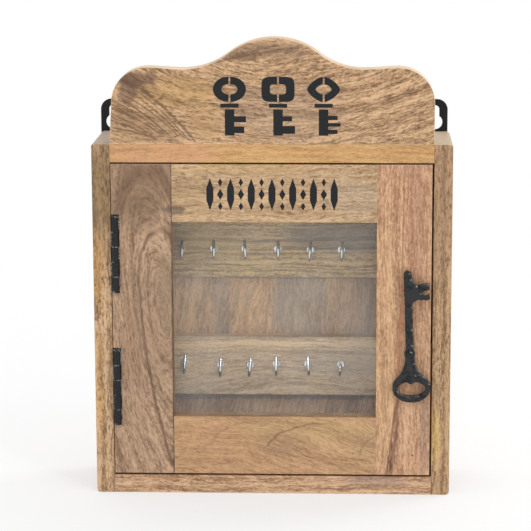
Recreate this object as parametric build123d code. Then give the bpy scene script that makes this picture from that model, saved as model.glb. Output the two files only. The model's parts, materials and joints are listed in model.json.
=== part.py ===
from build123d import *
import math
import os

# Wall-hung key cabinet with a glazed door, in millimetres.
# +X is to the viewer's right, +Y to the wall, +Z up.
# The origin is the middle of the box's footprint, on the face it can stand on.

# ---- Driving dimensions -------------------------------------------------
BOX_WIDTH = 300.0
BOX_HEIGHT = 300.0
BOX_DEPTH = 80.0
BOARD = 15.5            # thickness of every carcass and door board
FRONT = -BOX_DEPTH / 2
REAR = BOX_DEPTH / 2
INNER_X = BOX_WIDTH / 2 - BOARD
OUTER_ROUND = 3.0       # the side panels' outer edges
EASED = 0.6             # sanded edges everywhere else
FIT = 0.05              # radial clearance of pins, screws and dowels

BACK_THICKNESS = 5.0
BACK_REBATE = 8.0
BACK_INNER_Y = REAR - BACK_THICKNESS

CREST_DIP_Z = 362.3     # the low point each side of the peak
CREST_PEAK_Z = 388.0
CREST_PEAK_X = 2.0
CREST_DIP_OUT = 75.0    # from the peak to each dip
CREST_SHOULDER_Z = 363.8
CREST_SHOULDER_R = 30.0
CREST_LEAN_LEFT = 2.0   # the hand-sawn left end leans in by this much
CREST_EASED = 1.2

RAIL_THICKNESS = 12.0   # hook rails
RAIL_FRONT_Y = BACK_INNER_Y - RAIL_THICKNESS
RAIL_ZS = {"upper": (175.0, 227.0), "lower": (70.3, 122.2)}

DOOR_LEFT = -134.0
DOOR_RIGHT = 133.0
DOOR_BOTTOM = 17.2
DOOR_TOP = 283.1
DOOR_BACK = FRONT + BOARD
GLASS_LEFT = -83.3      # the sight opening
GLASS_RIGHT = 87.5
GLASS_BOTTOM = 67.1
GLASS_TOP = 234.5
DOOR_EASED = 0.4
REBATE = 6.0            # glazing rebate, behind a lip at the front
LIP = 3.5
GLASS_THICKNESS = 2.0
GLASS_PLAY = 0.3
BEAD_DEPTH = 9.5
TENON_LENGTH = 14.0
TENON_THICKNESS = 5.5
TENON_SHOULDER = 6.0    # from the rail's outer edge to the tenon
TENON_INSET = 2.0       # from the glazing rebate to the tenon

HINGE_LENGTH = 64.0
HINGE_CENTRES = {"upper": 207.2, "lower": 92.8}
KNUCKLES = 5
KNUCKLE_GAP = 0.3
BARREL_R = 3.0
PIN_R = 1.5
PIN_HEAD_R = 2.6
PIN_HEAD = 0.8
LEAF_INNER = 2.2        # leaf faces, measured from the hinge axis
LEAF_OUTER = 3.6
LEAF_START = 3.4
LEAF_END = 14.0
AXIS_X = -INNER_X + LEAF_OUTER
AXIS_Y = FRONT - 1.0
HINGE_NOTCH = 67.0

HOOK_WIRE_R = 1.4
HOOK_LOOP_R = 7.0
HOOK_NECK = 2.2
HOOK_BEND_R = 2.2
HOOK_COLLAR_R = 3.3
HOOK_COLLAR = 1.0
HOOK_COLLAR_ROUND = 0.4
HOOK_SHANK = 10.0
HOOK_POINT = 2.5
# The angle above level where the loop ends, at its front, and the straight tip past it.
HOOK_TIP = (25.0, 7.0)
HOOK_TIP_BENT_OPEN = (-14.0, 0.6)
BENT_OPEN = "hook_lower_6"
# Each hook: its place along the rail, its height, its lean to the left and its turn to the
# right, in degrees. The cup hooks are turned in by hand, so no two stand quite alike.
HOOKS = {
    "upper": [
        (-80.4, 200.2, 3.0, 5.5),
        (-52.4, 200.2, 0.0, 3.5),
        (-25.5, 200.2, -2.0, 3.5),
        (2.7, 200.2, 0.0, 3.5),
        (30.9, 199.3, 5.0, -1.0),
        (57.6, 199.6, 2.0, 2.0),
    ],
    "lower": [
        (-78.8, 99.3, 4.5, 4.0),
        (-47.2, 96.9, 3.0, 2.0),
        (-21.3, 97.0, 5.0, 0.5),
        (1.2, 98.1, 0.0, 2.0),
        (28.6, 98.3, -2.5, 4.0),
        (57.3, 98.1, 4.0, -1.5),
    ],
}

HANGER_WIDTH = 21.5
HANGER_THICKNESS = 2.0
HANGER_BOTTOM = 262.0
HANGER_TOP = 327.7
HANGER_ROUND = 9.0
HANGER_FOOT_ROUND = 3.0
HANGER_RIGHT_INSET = 2.0
KEYHOLE_R = 6.3
KEYHOLE_Z = 308.0
KEYHOLE_SLOT_R = 3.6
KEYHOLE_SLOT_TOP = 322.5
HANGER_SCREW_ZS = (271.0, 286.0)

HANDLE_X = 115.5        # the key's collar, the middle of the handle
HANDLE_Z = 124.5
HANDLE_TILT = -2.0      # degrees about +Y, so the top leans to the left
HANDLE_THICKNESS = 5.5
HANDLE_BOSS = 2.5       # two feet hold the key off the door
HANDLE_BOSS_R = 2.9
SHAFT_HALF = 2.9
SHAFT_TOP = 70.5
TOP_SCREW = 67.0
COLLAR_HALF = 4.3
COLLAR_HEIGHT = 5.0
COLLAR_ROUND = 1.6
NECK_TOP_HALF = 3.4
NECK_MIDDLE = (4.9, -11.5)
NECK_FOOT = (9.5, -20.0)
BOW_SHIFT = 0.6         # the bow sits a little right of the shaft
BOW_CENTRE = -29.4
BOW_WIDE = 15.8
BOW_TALL = 12.4
BOW_HOLE_CENTRE = -30.3
BOW_HOLE_WIDE = 12.3
BOW_HOLE_TALL = 6.6
BOW_CUSP_R = 3.8
BOW_CUSP_CENTRE = -21.8

CATCH_Z = 150.0
CATCH_HEIGHT = 44.0
CATCH_WIDTH = 14.0
CATCH_GAP = 0.4         # the strike never quite touches the pole plates
STRIKE_THICKNESS = 1.2
STRIKE_WIDTH = 11.0
STRIKE_HEIGHT = 30.0
STRIKE_ROUND = 1.5
POLE_PROUD = 0.5
POLE_THICKNESS = 1.2
CATCH_DEPTH = 15.0
CATCH_ROUND = 1.0
MAGNET = (6.0, 11.0, 24.0)
MAGNET_SET_BACK = 0.5

DOWEL_R = 3.0
DOWEL_LENGTH = 24.0
CARCASS_DOWEL_YS = (-20.0, 20.0)
CREST_DOWEL_XS = (-95.0, 0.0, 95.0)
CREST_DOWEL_RISE = 2.0  # how far past its middle each dowel goes into the crest
PANEL_PIN_R = 0.8
PANEL_PIN_HEAD_R = 1.7
PANEL_PIN_LENGTH = 18.0
SIDE_PIN_ZS = (25.0, 150.0, 245.0)
LEVEL_PIN_XS = (-60.0, 60.0)
BEAD_PIN_R = 0.6
BEAD_PIN_LENGTH = 12.0
BEAD_PIN_INSET = 35.0   # from the glazing's corners
BEAD_PIN_DEPTH = 4.5    # from the back of the door
RAIL_SCREW_XS = (-110.0, 110.0)
HINGE_SCREW_STEPS = (-24.0, 0.0, 24.0)
CATCH_SCREW_STEPS = (-17.0, 17.0)

# Screws: shank radius, head radius and length.
HINGE_SCREW = (1.4, 2.7, 11.0)
RAIL_SCREW = (1.6, 3.1, 14.0)
STRIKE_SCREW = (1.3, 2.5, 9.0)
CATCH_SCREW = (1.5, 2.8, 22.0)
HANGER_SCREW = (1.6, 3.4, 14.0)
HANDLE_SCREW = (1.4, 2.5, 19.0)
POINT_R = 0.15          # the blunt end of every point
RECESS_DEPTH = 0.6
RECESS_SPAN = 1.3       # the cross recess, as shares of the head's radius
RECESS_WIDTH = 0.26
PAN_HEIGHT = 0.62

BASE = (Align.CENTER, Align.CENTER, Align.MIN)
LEFT, RIGHT, INTO_WALL, TO_VIEWER = (-1, 0, 0), (1, 0, 0), (0, 1, 0), (0, -1, 0)
UP, DOWN = (0, 0, 1), (0, 0, -1)


# ---- Small helpers ------------------------------------------------------
def block(x0, x1, y0, y1, z0, z1):
    centre = Pos((x0 + x1) / 2, (y0 + y1) / 2, (z0 + z1) / 2)
    return centre * Box(x1 - x0, y1 - y0, z1 - z0)


def along(point, direction):
    return Plane(origin=point, z_dir=direction).location


def rod(point, direction, radius, length):
    return along(point, direction) * Cylinder(radius, length, align=BASE)


def cross_recess(radius):
    arm = Box(radius * RECESS_SPAN, radius * RECESS_WIDTH, 2 * RECESS_DEPTH)
    return arm + Rot(0, 0, 90) * arm


def countersunk_screw(point, direction, sizes):
    shank, head, length = sizes
    sink = head - shank
    tip = 2 * shank
    body = Cone(head, shank, sink, align=BASE)
    body += Pos(0, 0, sink) * Cylinder(shank, length - sink - tip, align=BASE)
    body += Pos(0, 0, length - tip) * Cone(shank, POINT_R, tip, align=BASE)
    return along(point, direction) * (body - cross_recess(head))


def countersunk_hole(point, direction, sizes):
    shank, head, length = sizes
    sink = head - shank
    hole = Cone(head + FIT, shank + FIT, sink, align=BASE)
    hole += Cylinder(shank + FIT, length + FIT, align=BASE)
    return along(point, direction) * hole


def pan_screw(point, direction, sizes):
    shank, head, length = sizes
    tip = 2 * shank
    height = PAN_HEIGHT * head
    dome = Pos(0, 0, -height) * Cylinder(head, height, align=BASE)
    dome = fillet(dome.edges().group_by(Axis.Z)[0], 0.5 * height)
    body = dome + Cylinder(shank, length - tip, align=BASE)
    body += Pos(0, 0, length - tip) * Cone(shank, POINT_R, tip, align=BASE)
    return along(point, direction) * (body - Pos(0, 0, -height) * cross_recess(head))


def pan_hole(point, direction, sizes):
    return rod(point, direction, sizes[0] + FIT, sizes[2] + FIT)


def nail(point, direction, radius, head_radius, length):
    head = 0.5 * head_radius
    body = Cone(head_radius, radius, head, align=BASE)
    body += Pos(0, 0, head) * Cylinder(radius, length - head, align=BASE)
    return along(point, direction) * body


def nail_hole(point, direction, radius, head_radius, length):
    head = 0.5 * head_radius
    hole = Cone(head_radius + FIT, radius + FIT, head, align=BASE)
    hole += Cylinder(radius + FIT, length + FIT, align=BASE)
    return along(point, direction) * hole


def drilled(shape, holes):
    for hole in holes:
        shape = shape - hole
    return shape


def eased_front(shape, radius):
    """Rounds the edges round the face nearest the viewer."""
    return fillet(shape.faces().sort_by(Axis.Y)[0].edges(), radius)


def write(node, shapes):
    solids = []
    for shape in shapes if isinstance(shapes, list) else [shapes]:
        solids.extend(shape.solids())
    whole = solids[0] if len(solids) == 1 else Compound(children=solids)
    export_step(whole, f"parts/{node}.step")


# ---- Where the fasteners go: a point on the surface and a direction -----
def carcass_dowel_places():
    places = []
    for z in (BOARD / 2, BOX_HEIGHT - BOARD / 2):
        for y in CARCASS_DOWEL_YS:
            for side in (-1, 1):
                start = side * (INNER_X - DOWEL_LENGTH / 2)
                places.append(((start, y, z), (side, 0, 0)))
    return places


def crest_dowel_places():
    middle_y = FRONT + BOARD / 2
    start_z = BOX_HEIGHT - DOWEL_LENGTH / 2 + CREST_DOWEL_RISE
    return [((x, middle_y, start_z), UP) for x in CREST_DOWEL_XS]


def back_pin_places():
    side_x = INNER_X + BACK_REBATE / 2
    places = [((side * side_x, REAR, z), TO_VIEWER) for side in (-1, 1) for z in SIDE_PIN_ZS]
    for z in (BOARD - BACK_REBATE / 2, BOX_HEIGHT - BOARD + BACK_REBATE / 2):
        places += [((x, REAR, z), TO_VIEWER) for x in LEVEL_PIN_XS]
    return places


def rail_screw_places():
    places = []
    for low, high in RAIL_ZS.values():
        places += [((x, REAR, (low + high) / 2), TO_VIEWER) for x in RAIL_SCREW_XS]
    return places


def hanger_centre(side):
    inset = 0.0 if side < 0 else HANGER_RIGHT_INSET
    return side * (BOX_WIDTH / 2 - HANGER_WIDTH / 2 - inset)


def hanger_screw_places(side):
    surface = REAR + HANGER_THICKNESS
    return [((hanger_centre(side), surface, z), TO_VIEWER) for z in HANGER_SCREW_ZS]


def hinge_screw_places(level, side):
    face = AXIS_X + side * LEAF_INNER
    middle_y = AXIS_Y + (LEAF_START + LEAF_END) / 2
    centre = HINGE_CENTRES[level]
    return [((face, middle_y, centre + dz), (side, 0, 0)) for dz in HINGE_SCREW_STEPS]


def bead_pin_places():
    """Pins go through the beads, square to the edge that they close."""
    y = DOOR_BACK - BEAD_PIN_DEPTH
    places = []
    for x in (GLASS_LEFT + BEAD_PIN_INSET, GLASS_RIGHT - BEAD_PIN_INSET):
        places.append(((x, y, GLASS_TOP), UP))
        places.append(((x, y, GLASS_BOTTOM), DOWN))
    for z in (GLASS_BOTTOM + BEAD_PIN_INSET, GLASS_TOP - BEAD_PIN_INSET):
        places.append(((GLASS_LEFT, y, z), LEFT))
        places.append(((GLASS_RIGHT, y, z), RIGHT))
    return places


def on_key(across, up, y):
    """A point given on the upright key, carried to its place on the door."""
    angle = math.radians(HANDLE_TILT)
    x = HANDLE_X + across * math.cos(angle) + up * math.sin(angle)
    z = HANDLE_Z - across * math.sin(angle) + up * math.cos(angle)
    return (x, y, z)


def handle_screw_places():
    face = FRONT - HANDLE_BOSS - HANDLE_THICKNESS
    return [(on_key(0, up, face), INTO_WALL) for up in (0.0, TOP_SCREW)]


def catch_screw_places():
    x = INNER_X - CATCH_WIDTH
    middle_y = catch_front() + CATCH_DEPTH / 2
    return [((x, middle_y, CATCH_Z + dz), RIGHT) for dz in CATCH_SCREW_STEPS]


def strike_screw_place():
    x = INNER_X - CATCH_WIDTH / 2
    return ((x, DOOR_BACK + STRIKE_THICKNESS, CATCH_Z), TO_VIEWER)


def catch_front():
    return DOOR_BACK + STRIKE_THICKNESS + CATCH_GAP + POLE_PROUD


# ---- Carcass ------------------------------------------------------------
def back_space():
    edge = INNER_X + BACK_REBATE
    return block(-edge, edge, BACK_INNER_Y, REAR, BOARD - BACK_REBATE, BOX_HEIGHT - BOARD + BACK_REBATE)


def back_holes():
    return [nail_hole(p, d, PANEL_PIN_R, PANEL_PIN_HEAD_R, PANEL_PIN_LENGTH) for p, d in back_pin_places()]


def carcass_dowel_holes():
    return [rod(p, d, DOWEL_R + FIT, DOWEL_LENGTH) for p, d in carcass_dowel_places()]


def crest_dowel_holes():
    return [rod(p, d, DOWEL_R + FIT, DOWEL_LENGTH) for p, d in crest_dowel_places()]


def side_panel(side):
    inner, outer = sorted((side * INNER_X, side * BOX_WIDTH / 2))
    panel = block(inner, outer, FRONT, REAR, 0, BOX_HEIGHT)
    outer_face = panel.faces().sort_by(Axis.X)[0 if side < 0 else -1]
    panel = fillet(outer_face.edges(), OUTER_ROUND)
    upright_edges = panel.edges().filter_by(Axis.Z)
    inner_front = upright_edges.sort_by_distance((side * INNER_X, FRONT, BOX_HEIGHT / 2))[0]
    panel = fillet(inner_front, EASED) - back_space()
    holes = carcass_dowel_holes() + back_holes()
    holes += [countersunk_hole(p, d, HANGER_SCREW) for p, d in hanger_screw_places(side)]
    if side < 0:
        for level in HINGE_CENTRES:
            holes += [countersunk_hole(p, d, HINGE_SCREW) for p, d in hinge_screw_places(level, side)]
    else:
        holes += [countersunk_hole(p, d, CATCH_SCREW) for p, d in catch_screw_places()]
    return drilled(panel, holes)


def level_board(z0):
    board = block(-INNER_X, INNER_X, FRONT, REAR, z0, z0 + BOARD)
    board = eased_front(board, EASED) - back_space()
    return drilled(board, carcass_dowel_holes() + crest_dowel_holes() + back_holes())


def back_panel():
    holes = back_holes()
    holes += [countersunk_hole(p, d, RAIL_SCREW) for p, d in rail_screw_places()]
    for side in (-1, 1):
        holes += [countersunk_hole(p, d, HANGER_SCREW) for p, d in hanger_screw_places(side)]
    return drilled(back_space(), holes)


def crest_outline():
    """Straight ends, round shoulders, a shallow dip, and an ogee up to the peak."""
    rise = CREST_PEAK_Z - CREST_DIP_Z
    mid_z = CREST_DIP_Z + rise / 2
    shoulder_foot = CREST_SHOULDER_Z - CREST_SHOULDER_R
    peak = (CREST_PEAK_X, CREST_PEAK_Z)
    edges = []
    for side in (-1, 1):
        lean = CREST_LEAN_LEFT if side < 0 else 0.0
        end_x = side * (INNER_X - lean)
        shoulder_x = side * (INNER_X - lean - CREST_SHOULDER_R)
        dip = (CREST_PEAK_X + side * CREST_DIP_OUT, CREST_DIP_Z)
        turn = (CREST_PEAK_X + side * CREST_DIP_OUT / 2, mid_z)
        shoulder = (shoulder_x, CREST_SHOULDER_Z)
        edges.append(Line((side * INNER_X, BOX_HEIGHT), (end_x, shoulder_foot)))
        edges.append(TangentArc((end_x, shoulder_foot), shoulder, tangent=(0, 1)))
        edges.append(Spline(shoulder, dip, tangents=[(-side, 0), (-side, 0)]))
        edges.append(TangentArc(dip, turn, tangent=(-side, 0)))
        edges.append(TangentArc(peak, turn, tangent=(side, 0)))
    edges.append(Line((-INNER_X, BOX_HEIGHT), (INNER_X, BOX_HEIGHT)))
    return make_face(Wire(edges))


def crest_board():
    board = extrude(Plane.XZ.offset(-FRONT) * crest_outline(), -BOARD)
    rounded = [e for e in board.faces().sort_by(Axis.Y)[0].edges() if e.center().Z > BOX_HEIGHT + 1]
    rounded += [e for e in board.faces().sort_by(Axis.Y)[-1].edges() if e.center().Z > BOX_HEIGHT + 1]
    return drilled(fillet(rounded, CREST_EASED), crest_dowel_holes())


def hook_places(level):
    return [(x, RAIL_FRONT_Y, z) for x, z, lean, turn in HOOKS[level]]


def hook_rail(level):
    low, high = RAIL_ZS[level]
    rail = block(-INNER_X, INNER_X, RAIL_FRONT_Y, BACK_INNER_Y, low, high)
    rail = eased_front(rail, EASED)
    holes = [rod(p, INTO_WALL, HOOK_WIRE_R + FIT, HOOK_SHANK + FIT) for p in hook_places(level)]
    holes += [countersunk_hole(p, d, RAIL_SCREW) for p, d in rail_screw_places()]
    return drilled(rail, holes)


# ---- Cup hooks ----------------------------------------------------------
def hook_wire(tip_angle, tip_length):
    """The bent wire past the neck: a small bend, most of a round loop, and a straight tip."""
    reach = math.sqrt((HOOK_BEND_R + HOOK_LOOP_R) ** 2 - HOOK_BEND_R ** 2)
    share = HOOK_BEND_R / (HOOK_BEND_R + HOOK_LOOP_R)
    meet = (0, -share * reach, -HOOK_BEND_R + share * HOOK_BEND_R)
    bend_mid = (math.pi / 2 + math.atan2(meet[2] + HOOK_BEND_R, meet[1])) / 2
    bend_through = (0, HOOK_BEND_R * math.cos(bend_mid), -HOOK_BEND_R + HOOK_BEND_R * math.sin(bend_mid))
    angle = math.radians(tip_angle)
    loop_end = (0, -reach - HOOK_LOOP_R * math.cos(angle), HOOK_LOOP_R * math.sin(angle))
    tip_y = loop_end[1] + tip_length * math.sin(angle)
    tip = (0, tip_y, loop_end[2] + tip_length * math.cos(angle))
    path = Wire([
        ThreePointArc((0, 0, 0), bend_through, meet),
        ThreePointArc(meet, (0, -reach, -HOOK_LOOP_R), loop_end),
        Line(loop_end, tip),
    ])
    section = Plane(origin=(0, 0, 0), z_dir=TO_VIEWER) * Circle(HOOK_WIRE_R)
    return sweep(section, path=path) + Pos(*tip) * Sphere(HOOK_WIRE_R)


def cup_hook(tip, turn):
    """Upright hook at the origin, its collar against the plane Y = 0."""
    shank_length = HOOK_SHANK - HOOK_POINT
    shank = rod((0, 0, 0), INTO_WALL, HOOK_WIRE_R, shank_length)
    point = along((0, shank_length, 0), INTO_WALL) * Cone(HOOK_WIRE_R, POINT_R, HOOK_POINT, align=BASE)
    collar = rod((0, 0, 0), TO_VIEWER, HOOK_COLLAR_R, HOOK_COLLAR)
    collar = fillet(collar.edges().sort_by(Axis.Y)[0], HOOK_COLLAR_ROUND)
    neck = rod((0, 0, 0), TO_VIEWER, HOOK_WIRE_R, HOOK_NECK)
    neck += Pos(0, -HOOK_NECK, 0) * Sphere(HOOK_WIRE_R)
    wire = Pos(0, -HOOK_NECK, 0) * Rot(0, 0, turn) * hook_wire(*tip)
    return shank + point + collar + neck + wire


def placed_hook(node, x, z, lean, turn):
    tip = HOOK_TIP_BENT_OPEN if node == BENT_OPEN else HOOK_TIP
    return Pos(x, RAIL_FRONT_Y, z) * Rot(0, lean, 0) * cup_hook(tip, turn)


# ---- Wall hangers -------------------------------------------------------
def hanger(side):
    x = hanger_centre(side)
    half = HANGER_WIDTH / 2
    plate = block(x - half, x + half, REAR, REAR + HANGER_THICKNESS, HANGER_BOTTOM, HANGER_TOP)
    plate = fillet(plate.edges().filter_by(Axis.Y).group_by(Axis.Z)[-1], HANGER_ROUND)
    plate = fillet(plate.edges().filter_by(Axis.Y).group_by(Axis.Z)[0], HANGER_FOOT_ROUND)
    slot_z = KEYHOLE_SLOT_TOP - KEYHOLE_SLOT_R
    holes = [
        rod((x, REAR - 1, KEYHOLE_Z), INTO_WALL, KEYHOLE_R, 5.0),
        rod((x, REAR - 1, slot_z), INTO_WALL, KEYHOLE_SLOT_R, 5.0),
        block(x - KEYHOLE_SLOT_R, x + KEYHOLE_SLOT_R, REAR - 1, REAR + 4, KEYHOLE_Z, slot_z),
    ]
    holes += [countersunk_hole(p, d, HANGER_SCREW) for p, d in hanger_screw_places(side)]
    return drilled(plate, holes)


# ---- Hinges -------------------------------------------------------------
def hinge_bottom(level):
    return HINGE_CENTRES[level] - HINGE_LENGTH / 2


def hinge_leaf(level, side, bore):
    """side is -1 for the leaf on the side panel, 1 for the leaf on the door."""
    x0, x1 = sorted((AXIS_X + side * LEAF_INNER, AXIS_X + side * LEAF_OUTER))
    z0 = hinge_bottom(level)
    leaf = block(x0, x1, AXIS_Y + LEAF_START, AXIS_Y + LEAF_END, z0, z0 + HINGE_LENGTH)
    pitch = HINGE_LENGTH / KNUCKLES
    for number in range(KNUCKLES):
        on_door = number % 2 == 0
        if on_door == (side > 0):
            low = z0 + number * pitch + KNUCKLE_GAP / 2
            leaf += rod((AXIS_X, AXIS_Y, low), UP, BARREL_R, pitch - KNUCKLE_GAP)
            leaf += block(x0, x1, AXIS_Y, AXIS_Y + LEAF_START, low, low + pitch - KNUCKLE_GAP)
    holes = [rod((AXIS_X, AXIS_Y, z0), UP, bore, HINGE_LENGTH)]
    holes += [countersunk_hole(p, d, HINGE_SCREW) for p, d in hinge_screw_places(level, side)]
    return drilled(leaf, holes)


def hinge_pin(level):
    z0 = hinge_bottom(level)
    pin = rod((AXIS_X, AXIS_Y, z0), UP, PIN_R, HINGE_LENGTH)
    for end, direction in ((z0, DOWN), (z0 + HINGE_LENGTH, UP)):
        head = rod((AXIS_X, AXIS_Y, end), direction, PIN_HEAD_R, PIN_HEAD)
        pin += head
    return pin


# ---- Door ---------------------------------------------------------------
def glazing_space():
    return block(
        GLASS_LEFT - REBATE, GLASS_RIGHT + REBATE, FRONT + LIP, DOOR_BACK,
        GLASS_BOTTOM - REBATE, GLASS_TOP + REBATE,
    )


def rail_tenon(z0, z1, side):
    """A tenon runs from the rail's shoulder into the stile."""
    middle = FRONT + 0.5 * BOARD
    shoulder = GLASS_LEFT if side < 0 else GLASS_RIGHT
    x0, x1 = sorted((shoulder, shoulder + side * TENON_LENGTH))
    half = TENON_THICKNESS / 2
    return block(x0, x1, middle - half, middle + half, z0, z1)


def tenon_span(rail):
    if rail == "top":
        return GLASS_TOP + REBATE + TENON_INSET, DOOR_TOP - TENON_SHOULDER
    return DOOR_BOTTOM + TENON_SHOULDER, GLASS_BOTTOM - REBATE - TENON_INSET


def bead_pin_holes():
    return [rod(p, d, BEAD_PIN_R + FIT, BEAD_PIN_LENGTH + FIT) for p, d in bead_pin_places()]


def door_stile(side):
    x0, x1 = (DOOR_LEFT, GLASS_LEFT) if side < 0 else (GLASS_RIGHT, DOOR_RIGHT)
    stile = eased_front(block(x0, x1, FRONT, DOOR_BACK, DOOR_BOTTOM, DOOR_TOP), DOOR_EASED)
    holes = [glazing_space()] + bead_pin_holes()
    for rail in ("top", "bottom"):
        holes.append(rail_tenon(*tenon_span(rail), side))
    if side < 0:
        for level in HINGE_CENTRES:
            low = HINGE_CENTRES[level] - HINGE_NOTCH / 2
            notch_x = AXIS_X + LEAF_OUTER
            holes.append(block(DOOR_LEFT - 1, notch_x, FRONT - 1, DOOR_BACK + 1, low, low + HINGE_NOTCH))
            holes += [countersunk_hole(p, d, HINGE_SCREW) for p, d in hinge_screw_places(level, 1)]
    else:
        holes += [pan_hole(p, d, HANDLE_SCREW) for p, d in handle_screw_places()]
        holes.append(countersunk_hole(*strike_screw_place(), STRIKE_SCREW))
    return drilled(stile, holes)


def door_rail(rail):
    z0, z1 = (GLASS_TOP, DOOR_TOP) if rail == "top" else (DOOR_BOTTOM, GLASS_BOTTOM)
    board = eased_front(block(GLASS_LEFT, GLASS_RIGHT, FRONT, DOOR_BACK, z0, z1), DOOR_EASED)
    board = drilled(board, [glazing_space()] + bead_pin_holes())
    for side in (-1, 1):
        board += rail_tenon(*tenon_span(rail), side)
    return board


def glass_pane():
    edge = REBATE - GLASS_PLAY
    back = FRONT + LIP + GLASS_THICKNESS
    return block(
        GLASS_LEFT - edge, GLASS_RIGHT + edge, FRONT + LIP, back,
        GLASS_BOTTOM - edge, GLASS_TOP + edge,
    )


def glazing_bead(place):
    y0 = FRONT + LIP + GLASS_THICKNESS
    y1 = y0 + BEAD_DEPTH
    if place in ("top", "bottom"):
        z0, z1 = (GLASS_TOP, GLASS_TOP + REBATE) if place == "top" else (GLASS_BOTTOM - REBATE, GLASS_BOTTOM)
        bead = block(GLASS_LEFT - REBATE, GLASS_RIGHT + REBATE, y0, y1, z0, z1)
    else:
        x0 = GLASS_LEFT - REBATE if place == "left" else GLASS_RIGHT
        x1 = x0 + REBATE
        bead = block(x0, x1, y0, y1, GLASS_BOTTOM, GLASS_TOP)
    return drilled(bead, bead_pin_holes())


# ---- Key-shaped handle --------------------------------------------------
def key_bit():
    """The key's bit: a web down from the tip, a waist, and a jaw open to the right."""
    return make_face(Polyline(
        (0, 64.5), (2.7, 63.5), (8.0, 57.4), (11.1, 58.7), (17.4, 59.1), (17.8, 53.9),
        (14.2, 54.3), (10.6, 51.5), (12.5, 48.7), (15.4, 48.9), (17.6, 51.0), (17.9, 45.9),
        (12.5, 45.6), (8.1, 46.6), (3.4, 43.9), (0, 43.9), close=True,
    ))


def key_neck():
    """Flares from the collar down to the bow."""
    top = -COLLAR_HEIGHT / 2
    (middle, middle_z), (foot, foot_z) = NECK_MIDDLE, NECK_FOOT
    left = Spline((-NECK_TOP_HALF, top), (-middle, middle_z), (-foot, foot_z))
    right = Spline((foot, foot_z), (middle, middle_z), (NECK_TOP_HALF, top))
    foot_line = Line((-foot, foot_z), (foot, foot_z))
    top_line = Line((NECK_TOP_HALF, top), (-NECK_TOP_HALF, top))
    return make_face(Wire([left, foot_line, right, top_line]))


def key_face():
    shaft_length = SHAFT_TOP - SHAFT_HALF
    face = Pos(0, shaft_length / 2) * Rectangle(2 * SHAFT_HALF, shaft_length)
    face += Pos(0, shaft_length) * Circle(SHAFT_HALF)
    face += RectangleRounded(2 * COLLAR_HALF, COLLAR_HEIGHT, COLLAR_ROUND)
    bow = Pos(BOW_SHIFT, BOW_CENTRE) * Ellipse(BOW_WIDE, BOW_TALL)
    hole = Pos(BOW_SHIFT, BOW_HOLE_CENTRE) * Ellipse(BOW_HOLE_WIDE, BOW_HOLE_TALL)
    cusp = Pos(0, BOW_CUSP_CENTRE) * Circle(BOW_CUSP_R)
    return face + key_bit() + key_neck() + bow - hole + cusp


def key_handle():
    key_plane = Plane(origin=(HANDLE_X, FRONT - HANDLE_BOSS, HANDLE_Z), x_dir=RIGHT, z_dir=TO_VIEWER)
    key = extrude(key_face(), HANDLE_THICKNESS)
    for up in (0.0, TOP_SCREW):
        key += Pos(0, up, -HANDLE_BOSS) * Cylinder(HANDLE_BOSS_R, HANDLE_BOSS, align=BASE)
    placed = key_plane.location * Rot(0, 0, -HANDLE_TILT) * key
    return drilled(placed, [pan_hole(p, d, HANDLE_SCREW) for p, d in handle_screw_places()])


# ---- Magnetic catch -----------------------------------------------------
def magnet_block():
    wide, deep, tall = MAGNET
    x = INNER_X - CATCH_WIDTH / 2
    y0 = catch_front() + MAGNET_SET_BACK
    return block(x - wide / 2, x + wide / 2, y0, y0 + deep, CATCH_Z - tall / 2, CATCH_Z + tall / 2)


def pole_plate(side):
    wide, deep, tall = MAGNET
    x = INNER_X - CATCH_WIDTH / 2 + side * wide / 2
    x0, x1 = sorted((x, x + side * POLE_THICKNESS))
    y0 = catch_front() - POLE_PROUD
    return block(x0, x1, y0, catch_front() + deep, CATCH_Z - tall / 2, CATCH_Z + tall / 2)


def catch_housing():
    half = CATCH_HEIGHT / 2
    y0 = catch_front()
    body = block(INNER_X - CATCH_WIDTH, INNER_X, y0, y0 + CATCH_DEPTH, CATCH_Z - half, CATCH_Z + half)
    body = fillet(body.faces().sort_by(Axis.X)[0].edges(), CATCH_ROUND)
    cavity = magnet_block() + pole_plate(-1) + pole_plate(1)
    wide, deep, tall = MAGNET
    x0 = INNER_X - CATCH_WIDTH / 2 - wide / 2
    mouth = block(x0, x0 + wide, y0 - 1, y0 + 1, CATCH_Z - tall / 2, CATCH_Z + tall / 2)
    holes = [cavity, mouth] + [countersunk_hole(p, d, CATCH_SCREW) for p, d in catch_screw_places()]
    return drilled(body, holes)


def strike_plate():
    x = INNER_X - CATCH_WIDTH / 2
    half_w, half_h = STRIKE_WIDTH / 2, STRIKE_HEIGHT / 2
    plate = block(
        x - half_w, x + half_w, DOOR_BACK, DOOR_BACK + STRIKE_THICKNESS, CATCH_Z - half_h, CATCH_Z + half_h,
    )
    plate = fillet(plate.edges().filter_by(Axis.Y), STRIKE_ROUND)
    return plate - countersunk_hole(*strike_screw_place(), STRIKE_SCREW)


# ---- Write every sub-part ----------------------------------------------
def write_carcass():
    write("side_panel_left", side_panel(-1))
    write("side_panel_right", side_panel(1))
    write("bottom_board", level_board(0.0))
    write("top_board", level_board(BOX_HEIGHT - BOARD))
    write("back_panel", back_panel())
    write("crest_board", crest_board())
    write("carcass_dowels", [rod(p, d, DOWEL_R, DOWEL_LENGTH) for p, d in carcass_dowel_places()])
    write("crest_dowels", [rod(p, d, DOWEL_R, DOWEL_LENGTH) for p, d in crest_dowel_places()])
    pin = (PANEL_PIN_R, PANEL_PIN_HEAD_R, PANEL_PIN_LENGTH)
    write("back_panel_pins", [nail(p, d, *pin) for p, d in back_pin_places()])
    write("rail_screws", [countersunk_screw(p, d, RAIL_SCREW) for p, d in rail_screw_places()])


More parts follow.
